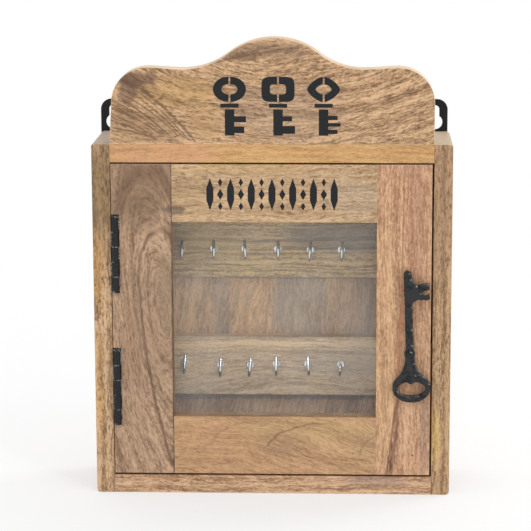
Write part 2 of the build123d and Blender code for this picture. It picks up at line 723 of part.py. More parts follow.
def write_hooks():
    for level, places in HOOKS.items():
        write(f"hook_rail_{level}", hook_rail(level))
        for number, place in enumerate(places, start=1):
            node = f"hook_{level}_{number}"
            write(node, placed_hook(node, *place))


def write_hangers():
    write("hanger_left", hanger(-1))
    write("hanger_right", hanger(1))
    places = hanger_screw_places(-1) + hanger_screw_places(1)
    write("hanger_screws", [countersunk_screw(p, d, HANGER_SCREW) for p, d in places])


def write_hinges():
    for level in HINGE_CENTRES:
        write(f"hinge_{level}_frame_leaf", hinge_leaf(level, -1, PIN_R + FIT / 5))
        write(f"hinge_{level}_door_leaf", hinge_leaf(level, 1, PIN_R + FIT))
        write(f"hinge_{level}_pin", hinge_pin(level))
    for side, node in ((-1, "hinge_frame_screws"), (1, "hinge_door_screws")):
        places = hinge_screw_places("upper", side) + hinge_screw_places("lower", side)
        write(node, [countersunk_screw(p, d, HINGE_SCREW) for p, d in places])


def write_door():
    write("door_stile_hinge", door_stile(-1))
    write("door_stile_handle", door_stile(1))
    write("door_rail_top", door_rail("top"))
    write("door_rail_bottom", door_rail("bottom"))
    write("glass_pane", glass_pane())
    for place in ("top", "bottom", "left", "right"):
        write(f"glazing_bead_{place}", glazing_bead(place))
    write("bead_pins", [rod(p, d, BEAD_PIN_R, BEAD_PIN_LENGTH) for p, d in bead_pin_places()])
    write("key_handle", key_handle())
    write("key_handle_screws", [pan_screw(p, d, HANDLE_SCREW) for p, d in handle_screw_places()])


def write_catch():
    write("catch_housing", catch_housing())
    write("catch_magnet", magnet_block())
    write("catch_pole_plates", [pole_plate(-1), pole_plate(1)])
    write("catch_screws", [countersunk_screw(p, d, CATCH_SCREW) for p, d in catch_screw_places()])
    write("strike_plate", strike_plate())
    write("strike_screw", countersunk_screw(*strike_screw_place(), STRIKE_SCREW))


os.makedirs("parts", exist_ok=True)
write_carcass()
write_hooks()
write_hangers()
write_hinges()
write_door()
write_catch()
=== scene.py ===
import json
import math
from collections import namedtuple

import bpy
from mathutils import Matrix, Vector, noise


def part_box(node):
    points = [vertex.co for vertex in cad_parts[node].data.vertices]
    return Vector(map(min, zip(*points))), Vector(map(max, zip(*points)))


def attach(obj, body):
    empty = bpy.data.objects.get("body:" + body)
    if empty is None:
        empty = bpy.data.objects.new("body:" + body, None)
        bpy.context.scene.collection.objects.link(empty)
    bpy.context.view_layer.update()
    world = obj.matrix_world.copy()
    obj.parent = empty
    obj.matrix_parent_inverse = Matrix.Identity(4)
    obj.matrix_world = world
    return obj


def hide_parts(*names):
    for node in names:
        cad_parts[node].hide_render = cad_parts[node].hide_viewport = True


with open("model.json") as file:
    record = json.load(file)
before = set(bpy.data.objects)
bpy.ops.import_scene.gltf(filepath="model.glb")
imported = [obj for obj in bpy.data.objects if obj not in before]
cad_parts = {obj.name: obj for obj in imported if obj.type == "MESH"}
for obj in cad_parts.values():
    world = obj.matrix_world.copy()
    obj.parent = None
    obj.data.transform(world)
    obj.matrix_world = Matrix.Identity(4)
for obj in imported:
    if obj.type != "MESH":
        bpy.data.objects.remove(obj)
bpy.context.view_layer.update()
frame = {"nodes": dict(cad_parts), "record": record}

# A wall-hung key cabinet of mango wood, with a glazed door, a key-shaped iron pull and cup hooks.
# Lengths are in metres, except where a comment or a docstring says millimetres. MM turns one
# millimetre into metres.
MM = 0.001
nodes = frame["nodes"]


def srgb(red, green, blue, share=1.0):
    """A colour given as 8-bit sRGB, as a linear colour, times share."""
    linear = []
    for channel in (red, green, blue):
        value = channel / 255
        value = value / 12.92 if value <= 0.04045 else ((value + 0.055) / 1.055) ** 2.4
        linear.append(value * share)
    return (*linear, 1.0)


# ---- Material graphs ----------------------------------------------------
EDGE_SAMPLES = 6


class Field:
    """A number that varies over a surface. Arithmetic on fields adds Math nodes."""

    def __init__(self, graph, socket):
        self.graph = graph
        self.socket = socket

    def __add__(self, other):
        return self.graph.math("ADD", self, other)

    def __sub__(self, other):
        return self.graph.math("SUBTRACT", self, other)

    def __rsub__(self, other):
        return self.graph.math("SUBTRACT", other, self)

    def __mul__(self, other):
        return self.graph.math("MULTIPLY", self, other)

    def __truediv__(self, other):
        return self.graph.math("DIVIDE", self, other)

    __radd__ = __add__
    __rmul__ = __mul__

    def magnitude(self):
        return self.graph.math("ABSOLUTE", self)

    def root(self):
        return self.graph.math("SQRT", self)

    def clamped(self):
        return self.graph.math("MINIMUM", self.graph.math("MAXIMUM", self, 0.0), 1.0)

    def rise(self, low, high):
        """Goes smoothly from 0 at low to 1 at high; low may be the larger."""
        ranged = {"Value": self, "From Min": low, "From Max": high}
        return self.graph.add("MapRange", ranged, interpolation_type="SMOOTHSTEP").field(0)


class Made:
    """A node that has been added. Its outputs are read as fields or as sockets."""

    def __init__(self, graph, node):
        self.graph = graph
        self.node = node

    def field(self, output):
        return Field(self.graph, self.node.outputs[output])

    def out(self, output):
        return self.node.outputs[output]


class Graph:
    """A material's node tree, built from short expressions."""

    def __init__(self, name):
        self.material = bpy.data.materials.new(name)
        self.material.use_nodes = True
        self.tree = self.material.node_tree
        self.tree.nodes.clear()

    def plug(self, socket, value):
        if isinstance(value, Field):
            value = value.socket
        if isinstance(value, bpy.types.NodeSocket):
            self.tree.links.new(value, socket)
        else:
            socket.default_value = value

    def add(self, kind, inputs=None, **settings):
        node = self.tree.nodes.new("ShaderNode" + kind)
        for key, value in settings.items():
            setattr(node, key, value)
        for key, value in (inputs or {}).items():
            self.plug(node.inputs[key], value)
        return Made(self, node)

    def math(self, operation, first, second=0.0):
        return self.add("Math", {0: first, 1: second}, operation=operation).field(0)

    def vector(self, x, y, z):
        return self.add("CombineXYZ", {0: x, 1: y, 2: z}).out(0)

    def place(self):
        """The point's place in the row frame at rest, in millimetres, by axis."""
        point = self.add("TexCoord").out("Object")
        parts = self.add("SeparateXYZ", {0: point})
        return {axis: parts.field(number) * (1 / MM) for number, axis in enumerate("xyz")}

    def point(self):
        """The same place as one vector."""
        place = self.place()
        return self.vector(place["x"], place["y"], place["z"])

    def facing(self):
        """The surface's normal at rest, split into its parts along the row frame's axes."""
        return self.add("SeparateXYZ", {0: self.add("TexCoord").out("Normal")})

    def noise(self, vector, scale=1.0, detail=2.0, roughness=0.5):
        inputs = {"Vector": vector, "Scale": scale, "Detail": detail, "Roughness": roughness}
        return self.add("TexNoise", inputs).field(0)

    def noise_line(self, along, detail, roughness):
        """Noise that varies with one number only."""
        inputs = {"W": along, "Scale": 1.0, "Detail": detail, "Roughness": roughness}
        return self.add("TexNoise", inputs, noise_dimensions="1D").field(0)

    def mix(self, share, first, second):
        return self.add("Mix", {0: share, 6: first, 7: second}, data_type="RGBA").out(2)

    def edges(self, radius):
        """1 on sharp or rounded edges of that radius, 0 on flat faces."""
        soft = self.add("Bevel", {"Radius": radius}, samples=EDGE_SAMPLES).out(0)
        true = self.add("NewGeometry").out("Normal")
        dot = self.add("VectorMath", {0: soft, 1: true}, operation="DOT_PRODUCT").field(1)
        return (1.0 - dot).rise(0.01, 0.14)

    def bump(self, height, strength, distance):
        inputs = {"Height": height, "Strength": strength, "Distance": distance}
        return self.add("Bump", inputs).out(0)

    def finish(self, inputs):
        return self.surface(self.add("BsdfPrincipled", inputs))

    def surface(self, shader):
        output = self.add("OutputMaterial")
        self.tree.links.new(shader.out(0), output.node.inputs["Surface"])
        return self.material


def paint_node(node, material):
    mesh = nodes[node].data
    mesh.materials.clear()
    mesh.materials.append(material)


# ---- Marks on a board ---------------------------------------------------
# Places on a board are (along, across) its grain, in millimetres, in the row frame. A mark's share
# is how far its colour hides the wood.
Mark = namedtuple("Mark", "inside colour share")

# How far an outline strays: a streak's in shares of its width, a ring line's in millimetres, and a
# patch's in shares of its size.
STREAK_STRAY, RING_LINE_STRAY, PATCH_STRAY = 2.2, 6.0, 1.5
# A patch is full inside the first share of its size, and gone outside the second.
PATCH_FULL, PATCH_GONE = 0.55, 1.25


def streak(start, end, width, colour, share, curve=1.0, fade=12.0, seed=0.0):
    """A long mark from one place to another, with ragged sides, and ends that fade over fade mm.

    A curve above 1 keeps it along the grain at its start and bends it towards its end.
    """

    def inside(graph, along, across):
        done = ((along - start[0]) / (end[0] - start[0])).clamped()
        bent = graph.math("POWER", done, curve)
        ragged = graph.noise(graph.vector(along * 0.09, across * 0.5, seed), detail=3.0)
        off = (across - start[1] - bent * (end[1] - start[1])).magnitude()
        off = off + (ragged - 0.5) * width * STREAK_STRAY
        low, high = sorted((start[0], end[0]))
        within = along.rise(low - fade, low + fade) * along.rise(high + fade, high - fade)
        return off.rise(width, width * 0.2) * within

    return Mark(inside, colour, share)


def ring_line(centre, radii, between, width, colour, share, side=1, seed=0.0):
    """A growth ring where the board's face cuts it: one side of an ellipse round centre.

    It is drawn only between two places along the board, and on the side of greater across for
    side=1, or of lesser for side=-1.
    """

    def inside(graph, along, across):
        x = (along - centre[0]) / radii[0]
        y = (across - centre[1]) / radii[1]
        ragged = graph.noise(graph.vector(along * 0.05, across * 0.08, seed), detail=3.0)
        off = ((x * x + y * y).root() - 1.0) * min(radii) + (ragged - 0.5) * RING_LINE_STRAY
        low, high = between
        within = along.rise(low - 4.0, low + 8.0) * along.rise(high + 12.0, high - 12.0)
        half = ((across - centre[1]) * side).rise(-6.0, 8.0)
        return off.magnitude().rise(width, 0.1) * within * half

    return Mark(inside, colour, share)


def patch(centre, size, colour, share):
    """A soft patch, size being its half-widths. It tints the wood, so the grain shows through."""

    def inside(graph, along, across):
        x = (along - centre[0]) / size[0]
        y = (across - centre[1]) / size[1]
        seed = centre[0] * 0.1 + centre[1] * 0.07
        cloud = graph.vector(along * 0.03, across * 0.07, seed)
        ragged = graph.noise(cloud, detail=3.0, roughness=0.6)
        off = (x * x + y * y).root() + (ragged - 0.5) * PATCH_STRAY
        return off.rise(PATCH_GONE, PATCH_FULL)

    return Mark(inside, colour, share)


# ---- Wood ---------------------------------------------------------------
WOOD_ROUGHNESS = 0.56
WOOD_IOR = 1.42
# A pore's colour and a ring line's colour, as shares of the board's dark colour.
PORE_TONE = 0.38
LINE_TONE = 0.55
# A patch's darkest and lightest tone, as shares of its colour.
PATCH_DARK, PATCH_LIGHT = 0.7, 1.2
# The ring pattern starts this many rings further in for each letter of the node's name, so that
# boards don't match.
RING_SHIFT = 0.37

# The layers of the grain: how many steps of noise each takes per mm over the rings, through the
# board and along it. The last two start elsewhere, so that they don't follow the others.
WISPS = (0.5, 0.35, 0.03)
FIBRES = (0.75, 0.7, 0.1)
GRIT = (1.0, 0.9, 0.4)
PORES = (0.66, 0.66, 0.17)
GRIT_START, PORE_START = 40, 90

# How far each layer swings a board's tone, between its dark colour at 0 and its light one at 1,
# when the board's ring, fibre or blotch is 1.
MIDDLE_TONE = 0.55
RING_SWING, WISP_SWING, FIBRE_SWING, GRIT_SWING, BLOTCH_SWING = 2.8, 2.4, 5.0, 3.4, 2.8


class Grain:
    """Where a point of a board lies, in millimetres, by its axes and by its growth rings.

    centre is the pith's place along, across and through the board, stretch is how long a ring is
    along the grain for its width, and slant and wander turn and bend the pith line.
    """

    def __init__(self, graph, along, across, centre, stretch, slant, wander):
        self.graph = graph
        place = graph.place()
        through = (set("xyz") - {along, across}).pop()
        self.along, self.across, self.through = place[along], place[across], place[through]
        far = self.along - centre[0]
        waver = graph.noise(self.scaled(0.012, 0.03, 0.03)) - 0.5
        sideways = self.across - centre[1] - far * slant + waver * wander * 2
        lengthways = far / stretch
        inwards = self.through - centre[2]
        squares = sideways * sideways + lengthways * lengthways + inwards * inwards
        self.radius = squares.root()
        self.spread = sideways * 0.2 + inwards

    def scaled(self, along, across, through):
        """The place as a vector, with steps of noise per mm for each of its parts."""
        return self.graph.vector(self.along * along, self.across * across, self.through * through)

    def turned(self, across, through, along, start=0.0):
        """The same with its parts in another order, for a pattern that doesn't follow the first."""
        first = self.across * across + start
        return self.graph.vector(first, self.through * through, self.along * along)

    def layer(self, rates, detail, roughness, start=0.0):
        """Noise drawn out along the fibres, which follow the rings."""
        over_rings, through, along = rates
        vector = self.graph.vector(
            self.radius * over_rings + start, self.spread * through, self.along * along
        )
        return self.graph.noise(vector, detail=detail, roughness=roughness)


def end_grain_wear_and_light(graph, grain, colour, along, dark, ends, share, edge_wear_and_highlight, top_light, crowd):
    """The board's colour with end grain over it, painted light on its top faces, and edges rubbed
    pale, which also paints their highlight.
    """
    facing = graph.facing()
    end_grain = facing.field("xyz".index(along)).magnitude().rise(0.45, 0.9)
    dots = graph.noise(grain.turned(1.6, 1.6, 1.6)).rise(0.52, 0.7)
    end_colour = graph.mix(dots * 0.5, srgb(*ends, share), srgb(*dark, share))
    colour = graph.mix(end_grain * 0.8, colour, end_colour)
    # Painted light: the top faces are made paler, as if lit from above.
    top = facing.field(2).rise(0.25, 0.75) * (0.5 + 0.5 * crowd) * top_light
    colour = graph.mix(top, colour, srgb(*ends, share * 1.1))
    # Edges rubbed pale: real wear, and also a painted highlight along the arrises.
    rubbed = graph.edges(0.9 * MM) * graph.noise(grain.scaled(0.08, 0.3, 0.3)).rise(0.2, 0.55)
    return graph.mix(rubbed * edge_wear_and_highlight, colour, srgb(*ends, share * 1.3))


def wood(node, along, across, dark, light, centre, stretch, spacing, ends=(200, 180, 154),
         slant=0.0, wander=6.0, ring=0.5, line=0.0, fibre=0.5, flecks=0.5, blotch=0.3, edge_wear_and_highlight=0.6,
         top_light=0.0, spots=(), marks=(), share=1.0, front_spots=False):
    """Wood for one board: growth rings round a pith line, and fibres and pores that run with them.

    along and across name the row axes that the grain and the board's width lie on. Grain says what
    centre, stretch, slant and wander are. spacing is the width of a ring in millimetres. ring,
    line, fibre, flecks and blotch are how strongly the rings, their thin dark lines, the fibres,
    the pores and the clouds show. ends is the end grain's colour. edge_wear_and_highlight is how
    much the edges are rubbed pale, which also paints their highlight, and top_light is how much
    painted light pales the top faces. share makes the whole board darker or lighter. front_spots
    keeps the spots on the board's front.
    lighter. front_spots keeps the spots on the board's front.
    """
    graph = Graph("wood_" + node)
    grain = Grain(graph, along, across, centre, stretch, slant, wander)
    rings = grain.radius / spacing + RING_SHIFT * len(node)
    growth = graph.noise_line(rings, detail=3.0, roughness=0.55)
    wisps = grain.layer(WISPS, detail=3.0, roughness=0.6)
    fibres = grain.layer(FIBRES, detail=3.0, roughness=0.7)
    grit = grain.layer(GRIT, detail=2.0, roughness=0.6, start=GRIT_START)
    fleck = grain.layer(PORES, detail=2.0, roughness=0.5, start=PORE_START)
    cloud = graph.noise(grain.turned(0.022, 0.022, 0.009))
    crowd = graph.noise(grain.turned(0.05, 0.05, 0.02, start=5), detail=1.0).rise(0.3, 0.65)
    pore = fleck.rise(0.53, 0.66) * (0.35 + crowd * 0.65)

    tone = MIDDLE_TONE + (growth - 0.5) * (RING_SWING * ring) + (wisps - 0.5) * (WISP_SWING * fibre)
    tone = tone + (fibres - 0.5) * (FIBRE_SWING * fibre) + (grit - 0.5) * (GRIT_SWING * fibre)
    tone = (tone + (cloud - 0.5) * (BLOTCH_SWING * blotch)).clamped()
    colour = graph.mix(tone, srgb(*dark, share), srgb(*light, share))

    shown = (graph.facing().field(1) * -1.0).rise(0.2, 0.8) if front_spots else 1.0
    for spot in spots:
        low, high = srgb(*spot.colour, share * PATCH_DARK), srgb(*spot.colour, share * PATCH_LIGHT)
        inside = spot.inside(graph, grain.along, grain.across) * spot.share * shown
        colour = graph.mix(inside, colour, graph.mix(tone, low, high))
    if line:
        contour = (growth - 0.5).magnitude().rise(0.018, 0.002) * line
        colour = graph.mix(contour, colour, srgb(*dark, share * LINE_TONE))
    for mark in marks:
        broken = 0.6 + 0.4 * wisps.rise(0.35, 0.6)
        inside = mark.inside(graph, grain.along, grain.across) * broken * mark.share
        colour = graph.mix(inside, colour, srgb(*mark.colour, share))
    colour = graph.mix(pore * flecks, colour, srgb(*dark, share * PORE_TONE))
    colour = end_grain_wear_and_light(graph, grain, colour, along, dark, ends, share, edge_wear_and_highlight, top_light, crowd)

    height = (fibres - 0.5) * 0.6 + (growth - 0.5) * 0.3 - pore * 0.7 * flecks
    return graph.finish({
        "Base Color": colour,
        "Roughness": (WOOD_ROUGHNESS + (fibres - 0.5) * 0.3 + pore * 0.15).clamped(),
        "Normal": graph.bump(height, 0.4, 0.25 * MM),
        "IOR": WOOD_IOR,
    })


# ---- The boards ---------------------------------------------------------
FAN_LINES = 9


def crest_fan():
    """Dark ring lines that spread over the crest's left end and bend down towards its middle."""
    lines = []
    for number in range(FAN_LINES):
        start = (-124.0 - 0.9 * number, 351.0 - 4.7 * number)
        end = (-68.0 - 4.2 * number, 303.0 + 1.8 * (number % 3))
        width = 1.0 + 0.5 * (number % 2)
        line = streak(start, end, width, (104, 76, 56), 0.75, curve=1.35, fade=3.0, seed=30.0 + number)
        lines.append(line)
    return tuple(lines)


def crest_wood():
    return dict(
        along="x", across="z", dark=(128, 94, 64), light=(216, 177, 136),
        centre=(8.0, 408.0, -32.0), stretch=2.1, wander=8.0, spacing=8.0, ring=0.4, fibre=0.5,
        flecks=0.6, blotch=0.25, ends=(220, 198, 168), top_light=0.9,
        spots=(
            patch((-78.0, 343.0), (40.0, 13.0), (180, 142, 92), 0.7),
            patch((-55.0, 322.0), (16.0, 20.0), (176, 138, 94), 0.7),
            patch((-104.0, 314.0), (34.0, 14.0), (160, 126, 92), 0.7),
            patch((-112.0, 354.0), (20.0, 6.0), (118, 88, 68), 0.9),
            patch((-119.0, 344.0), (7.0, 12.0), (120, 92, 72), 0.8),
            patch((-4.0, 378.0), (38.0, 7.0), (152, 121, 94), 0.8),
            patch((-26.0, 372.0), (14.0, 5.0), (120, 92, 70), 0.8),
            patch((12.0, 326.0), (52.0, 26.0), (172, 142, 114), 0.6),
        ),
        marks=(
            streak((-125.0, 353.0), (-62.0, 301.0), 2.8, (96, 70, 54), 0.85, curve=1.5, fade=3.0),
            streak((-48.0, 367.0), (26.0, 381.0), 1.6, (104, 76, 56), 0.75, curve=0.8, seed=9.0),
            streak((-36.0, 371.0), (10.0, 383.0), 1.2, (112, 84, 64), 0.6, curve=0.8, seed=23.0),
            streak((40.0, 309.0), (122.0, 346.0), 1.1, (124, 92, 68), 0.65, seed=11.0),
            streak((52.0, 322.0), (128.0, 349.0), 1.0, (126, 94, 70), 0.65, seed=13.0),
            streak((64.0, 304.0), (130.0, 326.0), 1.0, (128, 96, 72), 0.65, seed=15.0),
        ) + crest_fan(),
    )


def carcass_woods():
    return {
        "crest_board": crest_wood(),
        "top_board": dict(
            along="x", across="z", dark=(164, 118, 72), light=(212, 168, 112),
            centre=(-20.0, 250.0, -30.0), stretch=9.0, spacing=6.0, ring=0.5, fibre=0.4,
            flecks=0.08, blotch=0.4, edge_wear_and_highlight=0.4,
            spots=(
                patch((-90.0, 292.0), (46.0, 14.0), (192, 142, 104), 0.7),
            ),
        ),
        "bottom_board": dict(
            along="x", across="z", dark=(150, 112, 80), light=(216, 178, 142),
            centre=(40.0, -30.0, -20.0), stretch=14.0, spacing=4.0, ring=0.5, line=0.3, fibre=0.6,
            flecks=0.6, blotch=0.3, edge_wear_and_highlight=0.8,
            spots=(
                patch((90.0, 12.0), (30.0, 5.0), (160, 132, 116), 0.6),
            ),
        ),
        "side_panel_left": dict(
            along="z", across="x", dark=(138, 106, 74), light=(208, 172, 134),
            centre=(60.0, -170.0, -60.0), stretch=20.0, wander=3.0, spacing=3.6, ring=0.45,
            fibre=0.6, flecks=0.7, blotch=0.3, ends=(174, 160, 144),
            spots=(
                patch((262.0, -142.0), (56.0, 16.0), (142, 114, 80), 0.95),
                patch((190.0, -146.0), (34.0, 5.0), (182, 138, 84), 0.7),
                patch((90.0, -146.0), (50.0, 3.0), (196, 152, 96), 0.7),
            ),
        ),
        "side_panel_right": dict(
            along="z", across="x", dark=(132, 100, 68), light=(194, 158, 120),
            centre=(190.0, 172.0, -55.0), stretch=20.0, wander=3.0, spacing=3.8, ring=0.45,
            fibre=0.6, flecks=0.65, blotch=0.35, ends=(198, 179, 154),
            spots=(
                patch((250.0, 142.0), (60.0, 14.0), (164, 130, 98), 0.9),
                patch((50.0, 138.0), (26.0, 5.0), (202, 166, 104), 0.7),
            ),
        ),
        "hook_rail_upper": dict(
            along="x", across="z", dark=(150, 118, 78), light=(232, 196, 138),
            centre=(-70.0, 320.0, 20.0), stretch=16.0, wander=5.0, spacing=4.0, ring=0.9, fibre=0.6,
            flecks=0.15, blotch=0.45, edge_wear_and_highlight=0.3, share=0.95,
            spots=(
                patch((-66.0, 214.0), (44.0, 10.0), (204, 170, 108), 0.7),
                patch((-50.0, 200.0), (42.0, 8.0), (216, 180, 116), 0.75),
                patch((62.0, 212.0), (56.0, 18.0), (144, 124, 102), 0.75),
            ),
        ),
        "hook_rail_lower": dict(
            along="x", across="z", dark=(172, 142, 110), light=(236, 206, 168),
            centre=(20.0, 60.0, 20.0), stretch=6.0, wander=7.0, spacing=7.0, ring=0.6, fibre=0.45,
            flecks=0.12, blotch=0.45, edge_wear_and_highlight=0.3, share=1.02,
            spots=(
                patch((70.0, 100.0), (46.0, 14.0), (194, 172, 148), 0.7),
                patch((-40.0, 114.0), (60.0, 6.0), (222, 186, 138), 0.6),
            ),
        ),
        "back_panel": dict(
            along="z", across="x", dark=(162, 124, 90), light=(232, 190, 146),
            centre=(150.0, -190.0, 36.0), stretch=14.0, slant=0.16, wander=12.0, spacing=12.0,
            ring=0.4, fibre=0.5, flecks=0.2, blotch=0.5, edge_wear_and_highlight=0.2, front_spots=True,
            spots=(
                patch((150.0, -24.0), (60.0, 16.0), (222, 176, 128), 0.75),
                patch((150.0, 20.0), (60.0, 24.0), (172, 152, 132), 0.75),
                # Painted shadow: dark bands on the back panel just under the lower and the upper hook
                # rail.
                patch((66.5, 0.0), (3.6, 400.0), (92, 84, 80), 0.6),
                patch((173.0, 0.0), (1.8, 400.0), (110, 96, 86), 0.5),
                patch((150.0, -47.0), (60.0, 9.0), (158, 138, 120), 0.6),
                patch((150.0, 90.0), (60.0, 34.0), (166, 144, 122), 0.7),
                patch((150.0, 66.0), (24.0, 8.0), (206, 160, 120), 0.6),
            ),
        ),
    }


def door_woods():
    # Where the left stile meets the glass and the rails, in millimetres.
    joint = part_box("door_stile_hinge")[1][0] / MM - 0.25
    return {
        "door_stile_hinge": dict(
            along="z", across="x", dark=(128, 98, 74), light=(196, 162, 132),
            centre=(160.0, -92.5, -36.0), stretch=4.2, slant=-0.13, wander=4.0, spacing=9.5,
            ring=0.6, fibre=0.45, flecks=0.45, blotch=0.1, edge_wear_and_highlight=0.2,
            spots=(
                patch((266.0, -110.0), (42.0, 34.0), (144, 115, 89), 1.0),
                patch((176.0, -86.0), (44.0, 11.0), (152, 130, 103), 0.7),
                patch((140.0, -100.0), (60.0, 34.0), (144, 118, 93), 0.5),
                patch((130.0, -118.0), (36.0, 9.0), (160, 128, 100), 0.7),
                patch((245.0, -84.0), (3.2, 9.0), (112, 98, 84), 0.8),
            ),
            marks=(
                streak(
                    (196.0, -111.3), (20.0, -83.4), 2.0, (104, 76, 58), 0.85, curve=1.9, fade=14.0,
                ),
                streak((284.0, joint), (16.0, joint), 1.0, (70, 48, 34), 1.0, fade=2.0, seed=9.0),
                ring_line(
                    (238.0, -104.0), (40.0, 24.0), (240.0, 290.0), 7.0, (112, 84, 64), 0.75,
                    side=-1, seed=12.0,
                ),
                ring_line(
                    (238.0, -104.0), (40.0, 24.0), (250.0, 290.0), 7.0, (112, 84, 64), 0.75,
                    seed=12.0,
                ),
                ring_line(
                    (226.0, -100.0), (32.0, 17.0), (226.0, 262.0), 1.6, (120, 92, 72), 0.6,
                    side=-1, seed=14.0,
                ),
                ring_line(
                    (190.0, -93.0), (38.0, 18.0), (196.0, 236.0), 2.6, (108, 80, 62), 0.8, side=-1,
                    seed=3.0,
                ),
                ring_line(
                    (190.0, -93.0), (38.0, 18.0), (210.0, 236.0), 2.6, (108, 80, 62), 0.8,
                    seed=3.0,
                ),
                ring_line(
                    (176.0, -90.0), (26.0, 9.0), (150.0, 210.0), 1.2, (128, 98, 76), 0.6, side=-1,
                    seed=5.0,
                ),
            ),
        ),
        "door_stile_handle": dict(
            along="z", across="x", dark=(158, 114, 82), light=(214, 172, 136),
            centre=(150.0, 60.0, -60.0), stretch=18.0, slant=-0.02, wander=3.0, spacing=6.0,
            ring=0.35, fibre=0.55, flecks=0.4, blotch=0.25,
            spots=(
                patch((120.0, 96.0), (130.0, 9.0), (206, 166, 124), 0.6),
                patch((230.0, 120.0), (70.0, 9.0), (182, 136, 108), 0.7),
                patch((60.0, 128.0), (50.0, 5.0), (164, 130, 108), 0.7),
                patch((34.6, 118.5), (1.0, 1.0), (40, 26, 20), 1.0),
            ),
            marks=(
                streak((283.0, 110.0), (196.0, 108.8), 1.0, (146, 92, 68), 0.7),
                streak((206.0, 117.0), (192.0, 115.5), 1.0, (176, 92, 66), 0.6, fade=5.0, seed=1.0),
                streak((190.0, 109.0), (96.0, 106.0), 1.6, (190, 116, 84), 0.6, seed=2.0),
                streak((84.0, 105.0), (14.0, 96.5), 1.7, (112, 64, 46), 0.85, seed=6.0),
                streak((68.0, 106.8), (14.0, 100.8), 1.5, (96, 56, 42), 0.9, seed=8.0),
                streak((58.0, 104.4), (14.0, 98.6), 1.8, (76, 42, 34), 0.9, seed=17.0),
                streak((96.0, 107.4), (60.0, 104.6), 1.4, (112, 66, 48), 0.8, seed=19.0),
            ),
        ),
        "door_rail_top": dict(
            along="x", across="z", dark=(144, 112, 78), light=(210, 177, 138),
            centre=(-30.0, 330.0, -60.0), stretch=7.0, wander=8.0, spacing=9.0, ring=0.2,
            fibre=0.42, flecks=0.5, blotch=0.25, edge_wear_and_highlight=0.85,
            spots=(
                patch((-30.0, 279.0), (70.0, 4.0), (186, 154, 108), 0.55),
                patch((-66.0, 262.0), (26.0, 12.0), (176, 144, 108), 0.6),
                patch((-80.0, 245.0), (8.0, 3.4), (108, 94, 80), 0.8),
                patch((70.0, 256.0), (26.0, 16.0), (186, 162, 136), 0.6),
            ),
        ),
        "door_rail_bottom": dict(
            along="x", across="z", dark=(154, 116, 82), light=(202, 162, 121),
            centre=(-60.0, -14.0, -44.0), stretch=3.2, slant=-0.1, wander=9.0, spacing=10.0,
            ring=0.3, fibre=0.42, flecks=0.35, blotch=0.25, edge_wear_and_highlight=0.85,
            spots=(
                patch((-50.0, 42.0), (46.0, 20.0), (192, 150, 110), 0.7),
                patch((30.0, 56.0), (60.0, 11.0), (180, 148, 104), 0.7),
                patch((10.0, 46.0), (24.0, 12.0), (168, 134, 100), 0.6),
                patch((78.0, 40.0), (14.0, 14.0), (168, 138, 102), 0.6),
            ),
            marks=(
                ring_line((52.0, 37.0), (58.0, 25.0), (-12.0, 46.0), 0.9, (116, 84, 58), 0.75),
                ring_line(
                    (108.0, 32.0), (34.0, 24.0), (72.0, 96.0), 0.9, (124, 92, 66), 0.7, seed=4.0,
                ),
                ring_line(
                    (-18.0, 34.0), (36.0, 28.0), (-52.0, -8.0), 1.6, (140, 106, 76), 0.5, seed=8.0,
                ),
            ),
        ),
    }


def small_woods():
    """The glazing beads and the dowels, which have no marks of their own."""
    boards = {}
    for place in ("top", "bottom", "left", "right"):
        along, across = ("x", "z") if place in ("top", "bottom") else ("z", "x")
        boards["glazing_bead_" + place] = dict(
            along=along, across=across, dark=(128, 92, 56), light=(190, 146, 98),
            centre=(0.0, -400.0, 0.0), stretch=30.0, spacing=3.0, ring=0.4, flecks=0.4,
            blotch=0.2, edge_wear_and_highlight=0.2,
        )
    for dowels, along, across in (("carcass_dowels", "x", "z"), ("crest_dowels", "z", "x")):
        boards[dowels] = dict(
            along=along, across=across, dark=(176, 146, 104), light=(222, 198, 158),
            centre=(0.0, -300.0, 0.0), stretch=30.0, spacing=2.0, ring=0.3, fibre=0.4,
            flecks=0.2, blotch=0.2,
        )
    return boards


def paint_boards():
    for boards in (carcass_woods(), door_woods(), small_woods()):
        for node, settings in boards.items():
            paint_node(node, wood(node, **settings))


# ---- Metals, paint, plastic and glass -----------------------------------
BLACK_IOR = 1.36
IRON_IOR = 1.38
# A painted highlight lies on the iron's faces that look this way, in the row frame.
HIGHLIGHT_WAY = (0.4, -0.58, 0.6)
# How much of the pane's haze shows, and the index that sets how much its face reflects.
VEIL = 0.05
GLASS_IOR = 1.35


def enamel(name, tone=1.0, gloss=0.34, chips=0.5):
    """Black enamel or stencil paint, a little uneven, with chips share of its edges rubbed pale."""
    graph = Graph(name)
    point = graph.point()
    fine = graph.noise(point, scale=0.9, detail=4.0, roughness=0.65)
    broad = graph.noise(point, scale=0.12)
    colour = graph.mix(fine.rise(0.35, 0.7), srgb(12, 14, 16, tone), srgb(34, 37, 40, tone))
    rubbed = graph.edges(0.8 * MM) * broad.rise(0.38, 0.5) * fine.rise(0.45, 0.55) * chips
    colour = graph.mix(rubbed, colour, srgb(206, 204, 198, tone))
    return graph.finish({
        "Base Color": colour,
        "Roughness": (gloss + (fine - 0.5) * 0.4 + (broad - 0.5) * 0.2).clamped(),
        "Normal": graph.bump(fine, 0.25, 0.12 * MM),
        "IOR": BLACK_IOR,
    })


